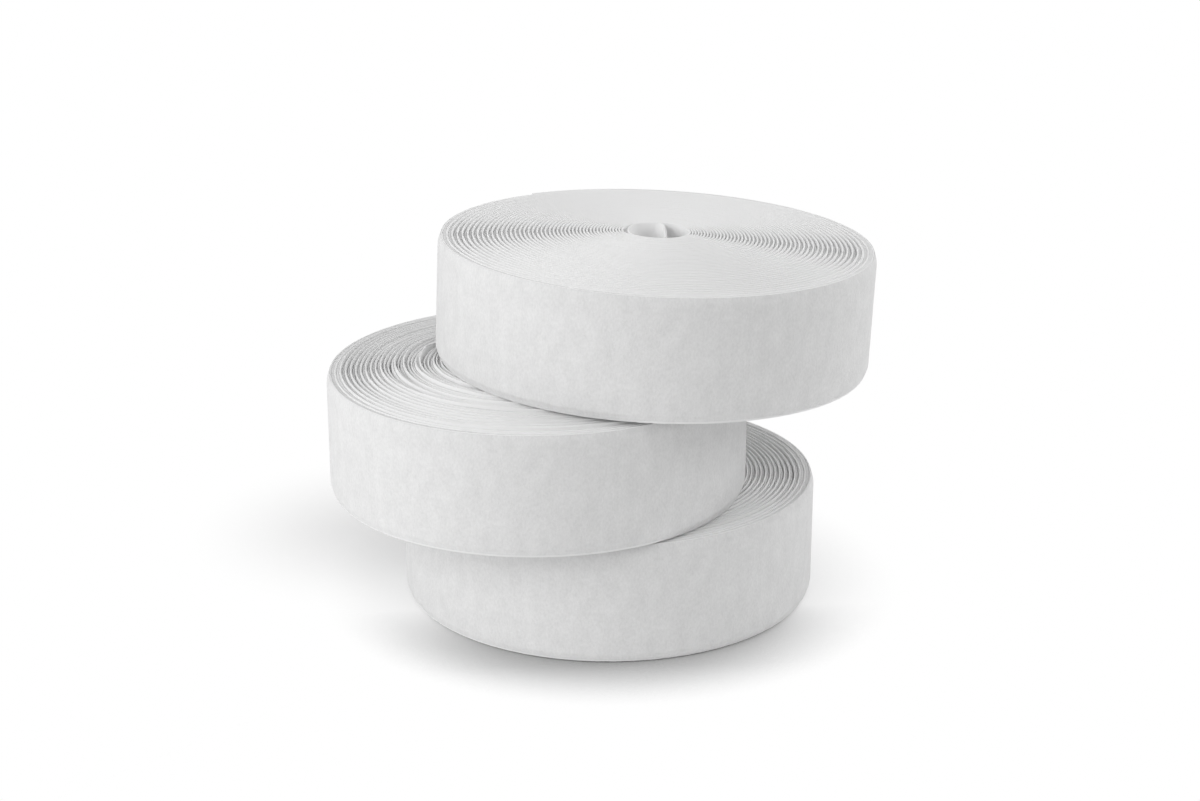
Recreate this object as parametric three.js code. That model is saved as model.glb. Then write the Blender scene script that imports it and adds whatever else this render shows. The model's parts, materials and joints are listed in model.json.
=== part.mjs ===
// Three rolls of soft loop tape, set down one on another, in millimetres with +Z up.
// The tape is a woven ground with a pile of small loops on its outer face. It is wound on itself
// without a core, so its inner end still crosses the bore and its outer end can be peeled open.
// The wound turns press each other flat and are one body here. The outermost turn, the free end
// and the inner end have their real layers.
import * as THREE from 'three';

// Tape
const TAPE_WIDTH = 50;
const SELVEDGE = 2; // bare woven edge on both sides of the pile
const GROUND = 0.8; // woven ground
const PILE = 1; // loops standing free on it
const SEAT = 0.3; // clearance between pieces that touch

// Bore and inner end
const BORE_DIAMETER = 25;
const INNER_END = 1.8; // ground with its loops
const INNER_BEND = 4; // radius where it bends away from the bore's wall
const INNER_END_SHIFT = 1; // how far the crossing stretch lies beside the axis
const INNER_TIP_GAP = 1; // from its tip to the bore's far wall
const INNER_LAP_LENGTH = 8; // the stretch that lies along the bore's wall

// Outer end
const TAIL_LENGTH = 39; // the stretch that peels open
const TAIL_SPLIT = 0.3; // clearance between its root and the wound tape

// Reach of the loop face from the axis, at the root of the free end
const BOTTOM_RADIUS = 88.1;
const MIDDLE_RADIUS = 87.6;
const TOP_RADIUS = 91.3;

// Where the upper rolls stand beside the lowest one, and how far their inner turns have crept up
const MIDDLE_OFFSET_X = -29.5;
const MIDDLE_OFFSET_Y = -13.6;
const MIDDLE_CREEP = 3.4;
const TOP_OFFSET_X = 17.8;
const TOP_OFFSET_Y = 0.8;
const TOP_CREEP = 3.8;

// The rolls from the bottom up, with the degrees round the axis at which the tape ends
const ROLLS = [
  { name: 'bottom', radius: BOTTOM_RADIUS, endsAt: 142, cone: 0, x: 0, y: 0 },
  {
    name: 'middle',
    radius: MIDDLE_RADIUS,
    endsAt: 118.6,
    cone: MIDDLE_CREEP,
    x: MIDDLE_OFFSET_X,
    y: MIDDLE_OFFSET_Y,
  },
  { name: 'top', radius: TOP_RADIUS, endsAt: 126, cone: TOP_CREEP, x: TOP_OFFSET_X, y: TOP_OFFSET_Y },
];

// Facets
const TURN_STEPS = 40; // at the same angles on every layer, so that they nest
const SHORTEST_STEP = 0.05; // a step cut shorter than this share of a whole one is left out
const BEND_STEPS = 6;

// How finely the resting place is sampled
const SETTLE_RINGS = 24;
const SETTLE_SPOKES = 72;
const SETTLE_ROUNDS = 40;
const STEEPEST_LEAN = THREE.MathUtils.degToRad(15);

const FULL_TURN = 2 * Math.PI;
const STEP = FULL_TURN / TURN_STEPS;
const BORE_RADIUS = BORE_DIAMETER / 2;
const FREE_PILE_INSIDE = GROUND / 2 + SEAT; // beside the middle of the ground
const FREE_PILE_OUTSIDE = FREE_PILE_INSIDE + PILE;
const PITCH = GROUND + PILE + 2 * SEAT; // from one turn to the next
const LAP_RADIUS = BORE_RADIUS - SEAT - INNER_END / 2; // middle of the stretch along the bore's wall

const wovenMaterial = () => new THREE.MeshStandardMaterial({ color: 0xe6e6e4, roughness: 0.85, metalness: 0 });
const pileMaterial = () => new THREE.MeshStandardMaterial({ color: 0xf1f1ef, roughness: 0.95, metalness: 0 });

// Angles at which the tape ends and where the free end has its root, and the reach of the whole roll
function windingAngles(roll) {
  const end = THREE.MathUtils.degToRad(roll.endsAt);
  return { end, fold: end - TAIL_LENGTH / roll.radius };
}

const rollRadius = (roll) => roll.radius + (PITCH * TAIL_LENGTH) / roll.radius / FULL_TURN;

// Height by which the tape at this distance from the axis has crept up out of the roll
function creep(roll, distance) {
  const inward = (rollRadius(roll) - distance) / (rollRadius(roll) - BORE_RADIUS);
  return roll.cone * THREE.MathUtils.clamp(inward, 0, 1);
}

// A point on the middle of the tape, with the way the tape runs there
function pathPoint(x, y, alongX, alongY) {
  const length = Math.hypot(alongX, alongY);
  return { x, y, outX: alongY / length, outY: -alongX / length };
}

// Distance of the ground's middle from the axis on the outermost turn and the free end
function spiralRadius(roll, angle) {
  return roll.radius - FREE_PILE_OUTSIDE + (PITCH / FULL_TURN) * (angle - windingAngles(roll).fold);
}

function spiralPoint(roll, angle) {
  const growth = PITCH / FULL_TURN;
  const radius = spiralRadius(roll, angle);
  const alongX = growth * Math.cos(angle) - radius * Math.sin(angle);
  const alongY = growth * Math.sin(angle) + radius * Math.cos(angle);
  return pathPoint(radius * Math.cos(angle), radius * Math.sin(angle), alongX, alongY);
}

// The tape between two angles, in steps that are counted from the fold
function spiralPath(roll, from, to) {
  const { fold } = windingAngles(roll);
  const first = Math.ceil((from - fold) / STEP + SHORTEST_STEP);
  const last = Math.floor((to - fold) / STEP - SHORTEST_STEP);
  const between = Array.from({ length: last - first + 1 }, (_, i) => fold + (first + i) * STEP);
  return [from, ...between, to].map((angle) => spiralPoint(roll, angle));
}

// The inner end: from its tip straight across the bore, round a bend and on along the bore's wall
function innerEndPath() {
  const centreX = INNER_END_SHIFT - INNER_BEND;
  const centreY = Math.sqrt((LAP_RADIUS - INNER_BEND) ** 2 - centreX ** 2);
  const lapAngle = Math.atan2(centreY, centreX);
  const path = [pathPoint(INNER_END_SHIFT, INNER_TIP_GAP - BORE_RADIUS, 0, 1)];
  const arc = (x, y, radius, angle) => {
    const [alongX, alongY] = [-Math.sin(angle), Math.cos(angle)];
    path.push(pathPoint(x + radius * alongY, y - radius * alongX, alongX, alongY));
  };
  for (let i = 0; i <= BEND_STEPS; i++) arc(centreX, centreY, INNER_BEND, (lapAngle * i) / BEND_STEPS);
  const lap = INNER_LAP_LENGTH / LAP_RADIUS;
  const lapSteps = Math.ceil(lap / STEP);
  for (let i = 1; i <= lapSteps; i++) arc(0, 0, LAP_RADIUS, lapAngle + (lap * i) / lapSteps);
  return path;
}

// The outermost turn on from an angle: it starts a split beyond it, on the same straight step
function outerPath(roll, from, to) {
  const path = spiralPath(roll, from, to);
  const share = TAIL_SPLIT / Math.hypot(path[1].x - path[0].x, path[1].y - path[0].y);
  path[0] = Object.fromEntries(
    Object.keys(path[0]).map((key) => [key, THREE.MathUtils.lerp(path[0][key], path[1][key], share)]),
  );
  return path;
}

// A closed strip along the path, between two distances beside it and two heights
function strip(roll, path, inside, outside, low, high) {
  const positions = [];
  const index = [];
  const quad = (a, b, c, d) => index.push(a, b, c, a, c, d);
  for (const point of path) {
    const lift = creep(roll, Math.hypot(point.x, point.y));
    for (const [beside, height] of [[inside, low], [outside, low], [outside, high], [inside, high]]) {
      positions.push(point.x + point.outX * beside, point.y + point.outY * beside, height + lift);
    }
  }
  const corners = 4;
  const last = (path.length - 1) * corners;
  for (let start = 0; start < last; start += corners) {
    for (let side = 0; side < corners; side++) {
      const next = (side + 1) % corners;
      quad(start + side, start + corners + side, start + corners + next, start + next);
    }
  }
  quad(0, 1, 2, 3);
  quad(last + 3, last + 2, last + 1, last);
  return solid(positions, index);
}

// The wound turns as one body: once round the bore, out to the ground of the outermost turn, with a
// step at the fold as high as one turn
function woundBody(roll) {
  const { fold } = windingAngles(roll);
  const positions = [];
  const index = [];
  for (let i = 0; i <= TURN_STEPS; i++) {
    const angle = fold - FULL_TURN + i * STEP;
    const rim = spiralRadius(roll, angle) + GROUND / 2;
    for (const [radius, height] of [[BORE_RADIUS, 0], [rim, 0], [rim, TAPE_WIDTH], [BORE_RADIUS, TAPE_WIDTH]]) {
      positions.push(radius * Math.cos(angle), radius * Math.sin(angle), height + creep(roll, radius));
    }
  }
  // Corners of a column: bore low, rim low, rim high, bore high. The last column shares the first one's bore.
  const column = (i) => [0, 1, 2, 3].map((corner) => (corner % 3 ? i : i % TURN_STEPS) * 4 + corner);
  const first = column(0);
  for (let i = 0; i < TURN_STEPS; i++) {
    const [a, b] = [column(i), column(i + 1)];
    const edges = i + 1 < TURN_STEPS ? [[], []] : [[first[1]], [first[2]]];
    const faces = [
      [a[0], b[0], ...edges[0], b[1], a[1]],
      [a[1], b[1], b[2], a[2]],
      [a[3], a[2], b[2], ...edges[1], b[3]],
      [a[3], b[3], b[0], a[0]],
    ];
    for (const face of faces) {
      for (let k = 2; k < face.length; k++) index.push(face[0], face[k - 1], face[k]);
    }
  }
  const last = column(TURN_STEPS);
  index.push(first[2], last[2], last[1], first[2], last[1], first[1]);
  return solid(positions, index);
}

function solid(positions, index) {
  const geometry = new THREE.BufferGeometry();
  geometry.setAttribute('position', new THREE.Float32BufferAttribute(positions, 3));
  geometry.setIndex(index);
  geometry.computeVertexNormals();
  return geometry;
}

function named(name, geometry, material) {
  const mesh = new THREE.Mesh(geometry, material);
  mesh.name = name;
  return mesh;
}

const tapeStrip = (roll, path) => strip(roll, path, -GROUND / 2, GROUND / 2, 0, TAPE_WIDTH);
const pileStrip = (roll, path) =>
  strip(roll, path, FREE_PILE_INSIDE, FREE_PILE_OUTSIDE, SELVEDGE, TAPE_WIDTH - SELVEDGE);

// The wound body with its inner end, the pile on the outermost turn, and the free end in a group that
// turns about its root
function buildRoll(roll) {
  const group = new THREE.Group();
  const { fold, end } = windingAngles(roll);
  const innerEnd = strip(roll, innerEndPath(), -INNER_END / 2, INNER_END / 2, 0, TAPE_WIDTH);
  const outerTurn = outerPath(roll, fold - FULL_TURN, fold);
  group.add(named(`${roll.name}_tape`, woundBody(roll), wovenMaterial()));
  group.add(named(`${roll.name}_inner_end`, innerEnd, wovenMaterial()));
  group.add(named(`${roll.name}_pile`, pileStrip(roll, outerTurn), pileMaterial()));

  const tail = new THREE.Group();
  const path = outerPath(roll, fold, end);
  const start = path[0];
  const foldPoint = spiralPoint(roll, fold);
  tail.position.set(
    (start.x + foldPoint.x) / 2 + start.outX * FREE_PILE_OUTSIDE,
    (start.y + foldPoint.y) / 2 + start.outY * FREE_PILE_OUTSIDE,
    0,
  );
  const pieces = { tail_tape: [tapeStrip, wovenMaterial], tail_pile: [pileStrip, pileMaterial] };
  for (const [piece, [shape, material]] of Object.entries(pieces)) {
    const geometry = shape(roll, path).translate(-tail.position.x, -tail.position.y, 0);
    tail.add(named(`${roll.name}_${piece}`, geometry, material()));
  }
  group.add(tail);
  return group;
}

// Points spread over a roll's face, from the bore to the rim
function facePoints(roll) {
  const points = [];
  for (let ring = 0; ring <= SETTLE_RINGS; ring++) {
    const radius = THREE.MathUtils.lerp(BORE_RADIUS, rollRadius(roll), ring / SETTLE_RINGS);
    for (let spoke = 0; spoke < SETTLE_SPOKES; spoke++) {
      const angle = (FULL_TURN * spoke) / SETTLE_SPOKES;
      points.push({ x: roll.x + radius * Math.cos(angle), y: roll.y + radius * Math.sin(angle) });
    }
  }
  return points;
}

// How a roll comes to rest on the one below: it leans along the line between the two axes, by the
// angle at which the weight on it lies lowest without its hollow underside passing into that face.
function settle(upper, lower, load) {
  const offset = new THREE.Vector2(upper.x - lower.x, upper.y - lower.y).normalize();
  const loadAlong = (load.x - upper.x) * offset.x + (load.y - upper.y) * offset.y;
  const touching = [];
  for (const { x, y } of [...facePoints(upper), ...facePoints(lower)]) {
    const onUpper = Math.hypot(x - upper.x, y - upper.y);
    const onLower = Math.hypot(x - lower.x, y - lower.y);
    if (Math.min(onUpper, onLower) < BORE_RADIUS) continue;
    if (onUpper > rollRadius(upper) + SEAT || onLower > rollRadius(lower) + SEAT) continue;
    const along = (x - upper.x) * offset.x + (y - upper.y) * offset.y;
    touching.push({ along, rise: creep(lower, onLower) - creep(upper, onUpper) });
  }
  const height = (lean) => Math.max(...touching.map(({ along, rise }) => rise + along * Math.tan(lean)));
  const loadHeight = (lean) => height(lean) - loadAlong * Math.tan(lean);
  let [low, high] = [-STEEPEST_LEAN, STEEPEST_LEAN];
  for (let round = 0; round < SETTLE_ROUNDS; round++) {
    const third = (high - low) / 3;
    if (loadHeight(low + third) < loadHeight(high - third)) high -= third;
    else low += third;
  }
  const lean = (low + high) / 2;
  return { lean, rest: height(lean) + SEAT, axis: new THREE.Vector3(-offset.y, offset.x, 0) };
}

// Middle of the weight of some rolls
function weightCentre(rolls) {
  const middle = (key) => rolls.reduce((sum, roll) => sum + roll[key], 0) / rolls.length;
  return { x: middle('x'), y: middle('y') };
}

// The stack: each roll rests on the one below under the weight above it, and the lowest stands level
const stack = new THREE.Group();
let floor = 0;
ROLLS.forEach((roll, i) => {
  const wound = buildRoll(roll);
  wound.position.set(roll.x, roll.y, floor);
  if (i > 0) {
    const { lean, rest, axis } = settle(roll, ROLLS[i - 1], weightCentre(ROLLS.slice(i)));
    wound.quaternion.setFromAxisAngle(axis, lean);
    wound.position.z += rest;
    console.log(`${roll.name} roll: leans ${THREE.MathUtils.radToDeg(lean).toFixed(2)} degrees`);
  }
  floor = wound.position.z + TAPE_WIDTH;
  stack.add(wound);
});

// The origin lies under the middle of the stack
stack.updateMatrixWorld(true);
const reach = new THREE.Box3().setFromObject(stack, true);
stack.position.set(-(reach.min.x + reach.max.x) / 2, -(reach.min.y + reach.max.y) / 2, -reach.min.z);

const part = new THREE.Group();
part.add(stack);
export default part;
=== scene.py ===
import json
import math

import bpy
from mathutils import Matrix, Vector, noise


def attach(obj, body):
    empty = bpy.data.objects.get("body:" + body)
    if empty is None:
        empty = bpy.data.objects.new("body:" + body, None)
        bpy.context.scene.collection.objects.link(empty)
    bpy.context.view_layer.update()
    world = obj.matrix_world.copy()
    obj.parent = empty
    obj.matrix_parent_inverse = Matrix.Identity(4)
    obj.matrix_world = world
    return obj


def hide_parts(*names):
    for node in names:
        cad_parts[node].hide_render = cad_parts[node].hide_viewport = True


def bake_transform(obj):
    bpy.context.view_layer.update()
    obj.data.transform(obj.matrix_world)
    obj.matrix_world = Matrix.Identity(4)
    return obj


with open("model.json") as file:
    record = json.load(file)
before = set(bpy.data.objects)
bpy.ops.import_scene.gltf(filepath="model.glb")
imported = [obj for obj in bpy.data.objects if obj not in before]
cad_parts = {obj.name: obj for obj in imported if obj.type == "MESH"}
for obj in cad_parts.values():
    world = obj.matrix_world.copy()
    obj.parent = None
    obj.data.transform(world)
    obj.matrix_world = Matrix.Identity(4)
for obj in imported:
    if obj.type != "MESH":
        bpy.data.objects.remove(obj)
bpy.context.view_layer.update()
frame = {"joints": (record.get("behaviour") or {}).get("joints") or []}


# The woven ground of each roll: one long nylon tape, wound on itself without a core.
# It starts with its inner end straight across the bore, bends into the first turn and runs out,
# turn by turn and ever looser, to the fold where the free end begins.
TAPE_WIDTH = 0.050
GROUND = 0.00065
GROUND_EDGE = 0.00018
OUTER_LOOPS = 0.0012
BORE_RADIUS = 0.0125
INNER_BEND = 0.004
INNER_END_SHIFT = 0.0033
INNER_TIP_GAP = 0.001
TIGHT_PITCH = 0.00115
HINGE_SETBACK = 0.000011
STEPS_A_TURN = 72
BEND_STEPS = 8
CROSSING_STEPS = 6

# For each roll: the direction from its axis to its hinge in degrees, the radius of its loop face at the
# fold, its turns, the height of the low cone in which the inner turns have crept up, how far turns lie
# loose beside their even places, how far edges are sunk, stand proud or are lifted together, how many
# outer turns lie evenly, and the gap by which the pressed loops stop short of the edges.
ROLLS = {
    "bottom": {
        "hinge_angle": 116.733, "radius": 0.0881, "turns": 44, "cone": 0.0, "loose": 0.00025,
        "sunk": 0.0005, "proud": 0.0, "lifted": 0.0, "even": 2, "gap": 0.0005,
    },
    "middle": {
        "hinge_angle": 93.188, "radius": 0.0876, "turns": 44, "cone": 0.0034, "loose": 0.0008,
        "sunk": 0.0007, "proud": 0.0022, "lifted": 0.0011, "even": 7, "gap": 0.0012,
    },
    "top": {
        "hinge_angle": 101.618, "radius": 0.0913, "turns": 46, "cone": 0.0038, "loose": 0.00012,
        "sunk": 0.0001, "proud": 0.0, "lifted": 0.0, "even": 2, "gap": 0.0010,
    },
}
SEED_SPREAD = 10

peels = {}
for joint in frame["joints"]:
    if joint["type"] == "hinge":
        peels[joint["name"].removesuffix("_peel")] = joint

for name, roll in ROLLS.items():
    hinge_angle = math.radians(roll["hinge_angle"])
    hinge_way = Vector((math.cos(hinge_angle), math.sin(hinge_angle), 0))
    hinge_arm = hinge_way * (roll["radius"] - HINGE_SETBACK)
    roll["lean"] = Vector((0, 0, 1)).rotation_difference(-Vector(peels[name]["axis"]))
    roll["centre"] = Vector(peels[name]["pos_m"]) - roll["lean"] @ hinge_arm
    roll["seed"] = SEED_SPREAD * roll["hinge_angle"]

    # The turns begin where the bend out of the bore meets the first of them
    first_radius = BORE_RADIUS + GROUND / 2
    bend_x = INNER_END_SHIFT - INNER_BEND
    bend_y = math.sqrt((first_radius - INNER_BEND) ** 2 - bend_x ** 2)
    roll["bend"] = (bend_x, bend_y)
    roll["start"] = math.atan2(bend_y, bend_x)
    roll["fold_turn"] = roll["turns"] + (hinge_angle - roll["start"]) / math.tau
    tape_radius = roll["radius"] - OUTER_LOOPS - GROUND / 2
    slack = tape_radius - first_radius - TIGHT_PITCH * roll["fold_turn"]
    roll["loosening"] = slack / roll["fold_turn"] ** 2

# The first turn hangs slack into the bore on one side
SLACK = 0.0015
SLACK_TURN = 0.22
SLACK_REACH = 0.14

# The turns wander from their even places, from turn to turn and round each turn, easing in and out
WANDER_A_TURN = 0.85
WANDER_ROUND = 0.5
EASING_TURNS = 3


def turn_radius(roll, turn):
    """Distance of the tape's middle from the axis: turns lie looser towards the rim, and wander."""
    angle = roll["start"] + math.tau * turn
    even = BORE_RADIUS + GROUND / 2 + TIGHT_PITCH * turn + roll["loosening"] * turn ** 2
    even -= SLACK * max(0, 1 - ((turn - SLACK_TURN) / SLACK_REACH) ** 2) ** 2
    turns_left = roll["fold_turn"] - roll["even"] - turn
    inside = min(1, max(0, turn / EASING_TURNS), max(0, turns_left / EASING_TURNS))
    place = Vector((turn * WANDER_A_TURN, math.cos(angle) * WANDER_ROUND,
                    math.sin(angle) * WANDER_ROUND + roll["seed"]))
    return even + roll["loose"] * inside * noise.noise(place)


def turn_columns(roll, first, last, steps_a_turn):
    """Places along the wound tape between two turns, evenly spread, each with the way that is out."""
    count = max(1, round((last - first) * steps_a_turn))
    columns = []
    for step in range(count + 1):
        turn = first + (last - first) * step / count
        angle = roll["start"] + math.tau * turn
        radius = turn_radius(roll, turn)
        x, y = radius * math.cos(angle), radius * math.sin(angle)
        columns.append({"x": x, "y": y, "out": angle, "turn": turn})
    return columns


def bore_columns(roll):
    """Places along the inner end: straight across the bore, then round the bend."""
    bend_x, bend_y = roll["bend"]
    columns = []
    for step in range(CROSSING_STEPS):
        share = step / CROSSING_STEPS
        y = (1 - share) * (INNER_TIP_GAP - BORE_RADIUS) + share * bend_y
        columns.append({"x": INNER_END_SHIFT, "y": y, "out": 0.0, "turn": 0.0})
    for step in range(BEND_STEPS):
        angle = roll["start"] * step / BEND_STEPS
        x = bend_x + INNER_BEND * math.cos(angle)
        y = bend_y + INNER_BEND * math.sin(angle)
        columns.append({"x": x, "y": y, "out": angle, "turn": 0.0})
    return columns


# The turns' edges lie unevenly, from turn to turn and round each turn
EDGE_A_TURN = 0.9
EDGE_ROUND = 0.7
EDGE_SEED = 50
SUNK_SHARE = 0.5

# The middle roll's turns stand highest towards its front left, where they reach up to the top roll.
# The proud ones begin a little way in from the rim.
LIFTED_SIDE = math.radians(215)
LIFTED_SPREAD = 1.6
PROUD_A_TURN = 1.1
PROUD_SEED = 90
PROUD_SHARE = 0.1
PROUD_RISE = 5
PROUD_START = 0.9
PRESSED_CLEARANCE = 0.0002


def inward_share(roll, distance):
    """How far in from the rim a place is: 0 at the rim and 1 at the bore."""
    return min(1, max(0, (roll["radius"] - distance) / (roll["radius"] - BORE_RADIUS)))


def underside(roll, x, y):
    """Height of a roll's lower edges over a place, or how high one may stand beside the roll."""
    away = Vector((x, y, 0)) - roll["centre"]
    up = roll["lean"] @ Vector((0, 0, 1))
    distance = math.hypot(away.x, away.y)
    level = roll["centre"].z - (up.x * away.x + up.y * away.y) / up.z
    return level + roll["cone"] * inward_share(roll, distance) + max(0, distance - roll["radius"])


def edges(roll, column):
    """Heights of the tape's lower and upper edge here, with the cone, sunken turns and proud turns."""
    inward = inward_share(roll, math.hypot(column["x"], column["y"]))
    low = roll["cone"] * inward
    turn, angle = column["turn"], column["out"]
    place = Vector((turn * EDGE_A_TURN, math.cos(angle) * EDGE_ROUND,
                    math.sin(angle) * EDGE_ROUND + roll["seed"] + EDGE_SEED))
    high = low + TAPE_WIDTH - roll["sunk"] * max(0, SUNK_SHARE + noise.noise(place))
    side = min(1, LIFTED_SPREAD * max(0, math.cos(angle - LIFTED_SIDE)))
    high += roll["lifted"] * side * 4 * inward * (1 - inward)
    ridge = noise.noise(Vector((turn * PROUD_A_TURN, place.y, place.z + PROUD_SEED))) + PROUD_SHARE
    high += roll["proud"] * side * min(1, max(0, inward * PROUD_RISE - PROUD_START)) * max(0, ridge)
    if roll is ROLLS["middle"]:
        over = underside(ROLLS["top"], roll["centre"].x + column["x"], roll["centre"].y + column["y"])
        high = min(high, over - PRESSED_CLEARANCE - roll["centre"].z)
    return low, high


WELD = 0.000001
SMOOTH_ANGLE = math.radians(50)


def wrap(name, roll, columns, section):
    """A closed strip wound along the columns: a flat grid whose rows go once round the tape's section."""
    outlines = [section(roll, column) for column in columns]
    steps, rows = len(columns) - 1, len(outlines[0])
    runs, rounds = [0.0], [0.0]
    for here, there in zip(columns, columns[1:]):
        runs.append(runs[-1] + math.dist((here["x"], here["y"]), (there["x"], there["y"])))
    for here, there in zip(outlines[0], outlines[0][1:] + outlines[0][:1]):
        rounds.append(rounds[-1] + math.dist(here, there))

    bpy.ops.object.select_all(action="DESELECT")
    bpy.ops.mesh.primitive_grid_add(x_subdivisions=steps, y_subdivisions=rows, size=1)
    strip = bpy.context.object
    strip.name = strip.data.name = name
    for vertex in strip.data.vertices:
        column = round((vertex.co.x + 0.5) * steps)
        beside, height = outlines[column][round((vertex.co.y + 0.5) * rows) % rows]
        column = columns[column]
        x = column["x"] + math.cos(column["out"]) * beside
        y = column["y"] + math.sin(column["out"]) * beside
        vertex.co = roll["centre"] + roll["lean"] @ Vector((x, y, height))
    for corner in strip.data.uv_layers.active.data:
        corner.uv = runs[round(corner.uv.x * steps)], rounds[round(corner.uv.y * rows)]

    # The grid's first and last row meet, and both ends of the strip are closed
    bpy.ops.object.mode_set(mode="EDIT")
    bpy.ops.mesh.select_all(action="SELECT")
    bpy.ops.mesh.remove_doubles(threshold=WELD)
    bpy.ops.mesh.select_all(action="DESELECT")
    bpy.ops.mesh.select_mode(type="EDGE")
    bpy.ops.mesh.select_non_manifold(extend=False, use_wire=False, use_multi_face=False,
                                     use_non_contiguous=False)
    bpy.ops.mesh.fill_holes(sides=0)
    bpy.ops.mesh.select_all(action="SELECT")
    bpy.ops.mesh.normals_make_consistent(inside=False)
    bpy.ops.object.mode_set(mode="OBJECT")
    bpy.ops.object.shade_smooth_by_angle(angle=SMOOTH_ANGLE)
    return strip, runs[-1]


def ground_section(roll, column):
    """The woven ground cut across: a thin upright band with its edges rounded off."""
    low, high = edges(roll, column)
    half, edge = GROUND / 2, GROUND_EDGE
    return [(-half, low + edge), (-half, high - edge), (-half + edge, high), (half - edge, high),
            (half, high - edge), (half, low + edge), (half - edge, low), (-half + edge, low)]


def node(tree, kind, inputs=(), **settings):
    """A shader node. Small-letter settings are its properties, the others are input sockets by name."""
    made = tree.nodes.new(kind)
    for key, value in settings.items():
        if key.islower():
            setattr(made, key, value)
    sockets = [(made.inputs[i], value) for i, value in enumerate(inputs)]
    sockets += [(made.inputs[key], value) for key, value in settings.items() if not key.islower()]
    for socket, value in sockets:
        if isinstance(value, bpy.types.NodeSocket):
            tree.links.new(value, socket)
        else:
            socket.default_value = value
    return made


# Plain weave, from the tape's own UV map, which runs in metres along and across it.
# A wave texture of scale 1 repeats after the wave length.
THREAD_SPACING = 0.0009
THREAD_RELIEF = 0.00005
THREAD_STRENGTH = 0.12
WAVE_LENGTH = math.tau / 20
weave = bpy.data.node_groups.new("plain_weave", "ShaderNodeTree")
weave.interface.new_socket("Spacing", in_out="INPUT", socket_type="NodeSocketFloat")
weave.interface.new_socket("Height", in_out="OUTPUT", socket_type="NodeSocketFloat")
given, result = weave.nodes.new("NodeGroupInput"), weave.nodes.new("NodeGroupOutput")
scale = node(weave, "ShaderNodeMath", operation="DIVIDE", inputs=[WAVE_LENGTH, given.outputs["Spacing"]])
place = weave.nodes.new("ShaderNodeUVMap").outputs["UV"]
threads = []
for direction in ("X", "Y"):
    bands = node(weave, "ShaderNodeTexWave", bands_direction=direction,
                 Vector=place, Scale=scale.outputs[0])
    threads.append(bands.outputs["Fac"])
both = node(weave, "ShaderNodeMath", operation="MULTIPLY", inputs=threads)
weave.links.new(both.outputs[0], result.inputs["Height"])

WOVEN_WHITE = (0.90, 0.90, 0.90, 1)
WOVEN_ROUGHNESS = 0.75
woven_cloth = bpy.data.materials.new("woven_ground")
woven_cloth.use_nodes = True
tree = woven_cloth.node_tree
shader = tree.nodes["Principled BSDF"]
shader.inputs["Base Color"].default_value = WOVEN_WHITE
shader.inputs["Roughness"].default_value = WOVEN_ROUGHNESS
cloth = node(tree, "ShaderNodeGroup", node_tree=weave, Spacing=THREAD_SPACING)
relief = node(tree, "ShaderNodeBump", Strength=THREAD_STRENGTH, Distance=THREAD_RELIEF,
              Height=cloth.outputs["Height"])
tree.links.new(relief.outputs["Normal"], shader.inputs["Normal"])

for name, roll in ROLLS.items():
    columns = bore_columns(roll) + turn_columns(roll, 0, roll["fold_turn"], STEPS_A_TURN)
    tape, length = wrap(f"{name}_woven_tape", roll, columns, ground_section)
    tape.data.materials.append(woven_cloth)
    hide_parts(f"{name}_tape", f"{name}_inner_end")
    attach(tape, f"{name}_roll")


# The loops between the turns: the tape's soft face of fine nylon loops, caught in the woven ground and
# pressed flat by the next turn over them. They stop short of both woven edges, so the ends of the roll
# show thin edges with dark gaps between.
LOOP_CREST = 0.0006
FLAT_CREST = 0.1
LEAST_GAP = 0.0001
FULL_TURNS = 3.0
RAGGED = 0.0003
RAGS_A_METRE = 900
FIRST_PRESSED_TURN = 0.02
PRESSED_STEPS = 60


def pressed_section(roll, column):
    """Pressed loops cut across: they fill the gap up to the next turn, with a rounded crest at both ends.

    In the outermost turns, which lie loose, they come up to the edges."""
    low, high = edges(roll, column)
    deep = min(1, (roll["fold_turn"] - 1 - column["turn"]) / FULL_TURNS)
    gap = LEAST_GAP + (roll["gap"] - LEAST_GAP) * deep
    crest = LOOP_CREST * (FLAT_CREST + (1 - FLAT_CREST) * deep)
    near = GROUND / 2
    next_radius = turn_radius(roll, column["turn"] + 1)
    room = next_radius - math.hypot(column["x"], column["y"]) - GROUND
    far = near + min(room, OUTER_LOOPS + (1 - deep) * room)
    middle = (near + far) / 2
    place = Vector((column["x"] * RAGS_A_METRE, column["y"] * RAGS_A_METRE, column["turn"]))
    ragged = RAGGED * noise.noise(place)
    low, high = low + gap + ragged * deep, high - gap + ragged * deep
    return [(near, low + crest), (near, high - crest), (middle, high),
            (far, high - crest), (far, low + crest), (middle, low)]


# Brushed nap: tufts that lie across the tape, and paler and greyer clouds where they are fluffed
# or pressed
TUFT = 0.0009
TUFT_DETAIL = 3.0
TUFT_ROUGHNESS = 0.65
TUFT_SHARE = 0.55
CLOUD = 0.0055
CLOUD_DETAIL = 4.0
CLOUD_ROUGHNESS = 0.6
LYING_ACROSS = (1, 0.55, 1)
NAP_RELIEF = 0.00035
NAP_STRENGTH = 0.5
nap = bpy.data.node_groups.new("brushed_nap", "ShaderNodeTree")
for socket in ("Tuft", "Cloud"):
    nap.interface.new_socket(socket, in_out="INPUT", socket_type="NodeSocketFloat")
for socket in ("Height", "Tone"):
    nap.interface.new_socket(socket, in_out="OUTPUT", socket_type="NodeSocketFloat")
given, result = nap.nodes.new("NodeGroupInput"), nap.nodes.new("NodeGroupOutput")
place = nap.nodes.new("ShaderNodeUVMap").outputs["UV"]
lying = node(nap, "ShaderNodeMapping", Vector=place, Scale=LYING_ACROSS)
fine = node(nap, "ShaderNodeMath", operation="DIVIDE", inputs=[1.0, given.outputs["Tuft"]])
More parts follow.
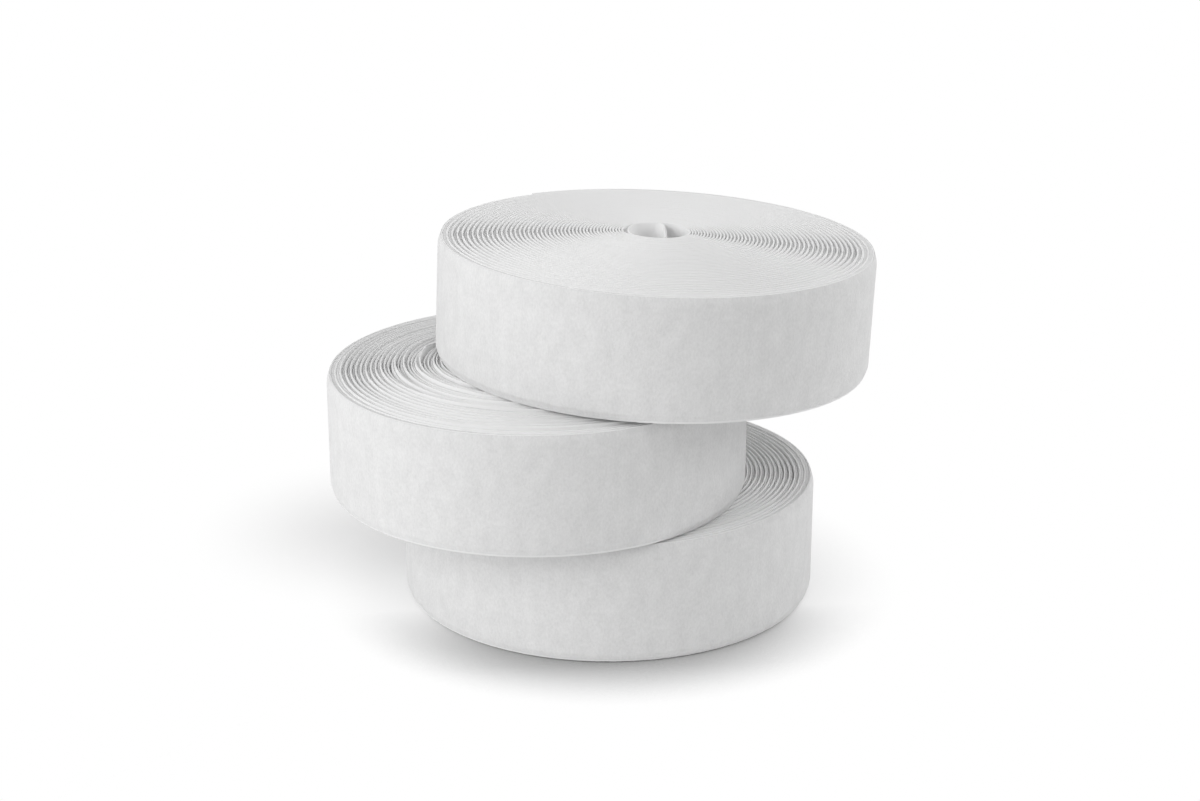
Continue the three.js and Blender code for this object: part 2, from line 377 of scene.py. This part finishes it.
wide = node(nap, "ShaderNodeMath", operation="DIVIDE", inputs=[1.0, given.outputs["Cloud"]])
tufts = node(nap, "ShaderNodeTexNoise", Vector=lying.outputs[0], Scale=fine.outputs[0],
             Detail=TUFT_DETAIL, Roughness=TUFT_ROUGHNESS)
clouds = node(nap, "ShaderNodeTexNoise", Vector=lying.outputs[0], Scale=wide.outputs[0],
              Detail=CLOUD_DETAIL, Roughness=CLOUD_ROUGHNESS)
tone = node(nap, "ShaderNodeMix", Factor=TUFT_SHARE, A=clouds.outputs["Fac"], B=tufts.outputs["Fac"])
nap.links.new(tufts.outputs["Fac"], result.inputs["Height"])
nap.links.new(tone.outputs[0], result.inputs["Tone"])

GREY_NAP = (0.725, 0.725, 0.725, 1)
GREY_TONE = 0.35
PALE_NAP = (0.835, 0.835, 0.835, 1)
PALE_TONE = 0.65
NAP_ROUGHNESS = 0.95
loop_cloth = bpy.data.materials.new("loop_pile")
loop_cloth.use_nodes = True
tree = loop_cloth.node_tree
shader = tree.nodes["Principled BSDF"]
shader.inputs["Roughness"].default_value = NAP_ROUGHNESS
cloth = node(tree, "ShaderNodeGroup", node_tree=nap, Tuft=TUFT, Cloud=CLOUD)
colour = node(tree, "ShaderNodeValToRGB", Fac=cloth.outputs["Tone"])
grey, pale = colour.color_ramp.elements
grey.position, grey.color = GREY_TONE, GREY_NAP
pale.position, pale.color = PALE_TONE, PALE_NAP
tree.links.new(colour.outputs["Color"], shader.inputs["Base Color"])
relief = node(tree, "ShaderNodeBump", Strength=NAP_STRENGTH, Distance=NAP_RELIEF,
              Height=cloth.outputs["Height"])
tree.links.new(relief.outputs["Normal"], shader.inputs["Normal"])

for name, roll in ROLLS.items():
    columns = turn_columns(roll, FIRST_PRESSED_TURN, roll["fold_turn"] - 1, PRESSED_STEPS)
    loops, _ = wrap(f"{name}_pressed_loops", roll, columns, pressed_section)
    loops.data.materials.append(loop_cloth)
    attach(loops, f"{name}_roll")


# The loop face: the nap that stands free on the tape where no turn presses it, which is on the outermost
# turn, from under the free end round to the fold, and on the inner end in the bore. It is brushed soft,
# with rounded shoulders, and leaves a thin woven edge bare below and a finer one above.
LOWER_EDGE = 0.0010
UPPER_EDGE = 0.0001
LOWER_SHOULDER = 0.0026
UPPER_SHOULDER = 0.0045
SHORT_LOOPS = 0.35
FACE_STEPS = 720
FACE_ROWS = 56
SHOULDER_ROWS = 6


def face_section(roll, column, loops=OUTER_LOOPS):
    """The free loops cut across: flat behind, short at the lower edge and rounded off to the upper."""
    low, high = edges(roll, column)
    low, high = low + LOWER_EDGE, high - UPPER_EDGE
    back = GROUND / 2
    points = [(back, low)]
    for row in range(SHOULDER_ROWS):
        share = row / SHOULDER_ROWS
        rise = SHORT_LOOPS + (1 - SHORT_LOOPS) * share ** 2 * (3 - 2 * share)
        points.append((back + loops * rise, low + LOWER_SHOULDER * share))
    for row in range(FACE_ROWS + 1):
        share = row / FACE_ROWS
        height = (1 - share) * (low + LOWER_SHOULDER) + share * (high - UPPER_SHOULDER)
        points.append((back + loops, height))
    for row in range(SHOULDER_ROWS):
        share = 1 - (row + 1) / SHOULDER_ROWS
        points.append((back + loops * math.sin(math.pi / 2 * share), high - UPPER_SHOULDER * share))
    return points


def inner_section(roll, column):
    """The inner end's loops cut across: full where they stand free, pressed where the first turn starts."""
    pressed = column["out"] / roll["start"]
    return face_section(roll, column, (1 - pressed) * OUTER_LOOPS + pressed * (TIGHT_PITCH - GROUND))


for name, roll in ROLLS.items():
    loops, _ = wrap(f"{name}_inner_loops", roll, bore_columns(roll), inner_section)
    loops.data.materials.append(loop_cloth)
    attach(loops, f"{name}_roll")

for name, roll in ROLLS.items():
    columns = turn_columns(roll, roll["fold_turn"] - 1, roll["fold_turn"], FACE_STEPS)
    face, _ = wrap(f"{name}_loop_face", roll, columns, face_section)
    face.data.materials.append(loop_cloth)
    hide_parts(f"{name}_pile")
    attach(face, f"{name}_roll")


# The free ends: the last stretch of each tape, woven ground and loops, which lies on the turn below, just
# past the fold.
TAIL_LENGTH = 0.039

for name, roll in ROLLS.items():
    first, last = roll["fold_turn"], roll["fold_turn"] + TAIL_LENGTH / roll["radius"] / math.tau
    columns = turn_columns(roll, first, last, FACE_STEPS)
    tail, length = wrap(f"{name}_woven_end", roll, columns, ground_section)
    tail.data.materials.append(woven_cloth)
    loops, _ = wrap(f"{name}_loop_end", roll, columns, face_section)
    loops.data.materials.append(loop_cloth)
    for piece, cad_node, slot in ((tail, "tail_tape", "woven_ground"), (loops, "tail_pile", "loop_pile")):
        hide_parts(f"{name}_{cad_node}")
        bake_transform(piece)


# Floor, light and camera: white paper under the stack, with a main soft box at the front left, weaker
# ones at the right and above and a faint one at the back right, seen from the photograph's viewpoint.
FLOOR_SIZE = 12
FLOOR_WHITE = (0.96, 0.96, 0.96, 1)
bpy.ops.object.select_all(action="DESELECT")
bpy.ops.mesh.primitive_plane_add(size=FLOOR_SIZE, location=(0, 0, 0))
floor = bpy.context.object
floor.name = "floor"
paper = bpy.data.materials.new("floor_paper")
paper.use_nodes = True
tree = paper.node_tree
shader = tree.nodes["Principled BSDF"]
shader.inputs["Base Color"].default_value = FLOOR_WHITE
shader.inputs["Roughness"].default_value = 1.0
shader.inputs["Specular IOR Level"].default_value = 0.0
floor.data.materials.append(paper)

# Close to the stack's foot the paper is painted darker for the eye: a painted contact shadow, drawn from an
# ambient occlusion reach and strongest at the front
CONTACT_REACH = 0.038
CONTACT_SAMPLES = 4
CONTACT_FRONT = (-0.04, 0.999, 0)
FRONT_DEPTH, SIDE_DEPTH = -0.085, -0.030
FRONT_CONTACT, SIDE_CONTACT = 1.25, 0.25
FULLY_CLOSED = 0.5
CLOSING_CURVE = 2.0
place = tree.nodes.new("ShaderNodeTexCoord").outputs["Object"]
depth = node(tree, "ShaderNodeVectorMath", operation="DOT_PRODUCT", inputs=[place, CONTACT_FRONT])
strength = node(tree, "ShaderNodeMapRange",
                inputs=[depth.outputs["Value"], FRONT_DEPTH, SIDE_DEPTH, FRONT_CONTACT, SIDE_CONTACT])
painted_contact_shade = node(tree, "ShaderNodeAmbientOcclusion", samples=CONTACT_SAMPLES, Distance=CONTACT_REACH)
closed = node(tree, "ShaderNodeMath", operation="SUBTRACT", inputs=[1.0, painted_contact_shade.outputs["AO"]])
closed = node(tree, "ShaderNodeMath", operation="MULTIPLY", inputs=[closed.outputs[0], strength.outputs[0]])
open_floor = node(tree, "ShaderNodeMapRange", inputs=[closed.outputs[0], FULLY_CLOSED, 0.0, 0.0, 1.0])
open_floor = node(tree, "ShaderNodeMath", operation="POWER", inputs=[open_floor.outputs[0], CLOSING_CURVE])

# Away from the foot and from the soft shadow behind it on the left, the floor is plain white to the eye
SHADE_CENTRE = (-0.095, 0.060, 0)
SHADE_REACH = 0.095
FLOOR_HAZE = 0.12


def seeing_rays(tree):
    """A value of 1 for the rays that see the background, from the camera or by way of a shiny piece."""
    rays = tree.nodes.new("ShaderNodeLightPath")
    seen = node(tree, "ShaderNodeMath", operation="MAXIMUM",
                inputs=[rays.outputs["Is Camera Ray"], rays.outputs["Is Glossy Ray"]])
    seen = node(tree, "ShaderNodeMath", operation="MAXIMUM",
                inputs=[seen.outputs[0], rays.outputs["Is Transmission Ray"]])
    return seen.outputs[0]


away = node(tree, "ShaderNodeVectorMath", operation="DISTANCE", inputs=[place, SHADE_CENTRE])
lit = node(tree, "ShaderNodeMapRange", interpolation_type="SMOOTHSTEP",
           inputs=[away.outputs["Value"], 0.0, SHADE_REACH, FLOOR_HAZE, 1.0])
seen = seeing_rays(tree)
# Painted shade: to the eye the lit paper is mixed towards black by the contact share, and the white is held
# back there too
dark = node(tree, "ShaderNodeMath", operation="MULTIPLY", inputs=[seen, closed.outputs[0]])
plain = node(tree, "ShaderNodeMath", operation="MULTIPLY", inputs=[open_floor.outputs[0], lit.outputs[0]])
plain = node(tree, "ShaderNodeMath", operation="MULTIPLY", inputs=[seen, plain.outputs[0]])
painted_shadow_black = node(tree, "ShaderNodeEmission", Color=(0, 0, 0, 1), Strength=0.0)
white = node(tree, "ShaderNodeEmission", Color=(1, 1, 1, 1), Strength=1.0)
floor_with_painted_shadow = node(tree, "ShaderNodeMixShader", inputs=[dark.outputs[0], shader.outputs[0], painted_shadow_black.outputs[0]])
mixed = node(tree, "ShaderNodeMixShader", inputs=[plain.outputs[0], floor_with_painted_shadow.outputs[0], white.outputs[0]])
tree.links.new(mixed.outputs[0], tree.nodes["Material Output"].inputs["Surface"])

scene = bpy.context.scene
scene.view_settings.view_transform = "Standard"

# The viewpoint, with the focal length and the photograph's width in its pixels
CAMERA_PLACE = (-0.00077, -0.87935, 0.386)
LOOKING_DOWN = 19.12
FOCAL_PIXELS = 2220
PHOTO_PIXELS = 1200
SENSOR_WIDTH = 36
bpy.ops.object.camera_add(location=CAMERA_PLACE, rotation=(math.radians(90 - LOOKING_DOWN), 0, 0))
camera = bpy.context.object
camera.data.sensor_width = SENSOR_WIDTH
camera.data.lens = SENSOR_WIDTH * FOCAL_PIXELS / PHOTO_PIXELS
scene.camera = camera

# A grey sky fills the shadows, and looks white where it is seen
SKY_STRENGTH = 0.38
world = bpy.data.worlds.new("studio")
scene.world = world
world.use_nodes = True
tree = world.node_tree
sky = tree.nodes["Background"]
sky.inputs["Color"].default_value = (1, 1, 1, 1)
sky.inputs["Strength"].default_value = SKY_STRENGTH
backdrop = node(tree, "ShaderNodeBackground", Color=(1, 1, 1, 1), Strength=1.0)
mixed = node(tree, "ShaderNodeMixShader", inputs=[seeing_rays(tree), sky.outputs[0], backdrop.outputs[0]])
tree.links.new(mixed.outputs[0], tree.nodes["World Output"].inputs["Surface"])

# The soft boxes, each with its place, width and power: front left, right, above and back right
SOFT_BOXES = (
    ((-1.03, -0.67, 0.65), 0.9, 9.3),
    ((1.16, 0.04, 0.76), 0.8, 5.4),
    ((0, 0.05, 1.43), 1.0, 2.2),
    ((0.71, 0.85, 0.85), 0.8, 1.2),
)
LAMP_AIM = Vector((0, 0, 0.08))
for place, width, power in SOFT_BOXES:
    bpy.ops.object.light_add(type="AREA", location=place)
    lamp = bpy.context.object
    lamp.data.size = width
    lamp.data.energy = power
    lamp.rotation_euler = (LAMP_AIM - lamp.location).to_track_quat("-Z", "Y").to_euler()
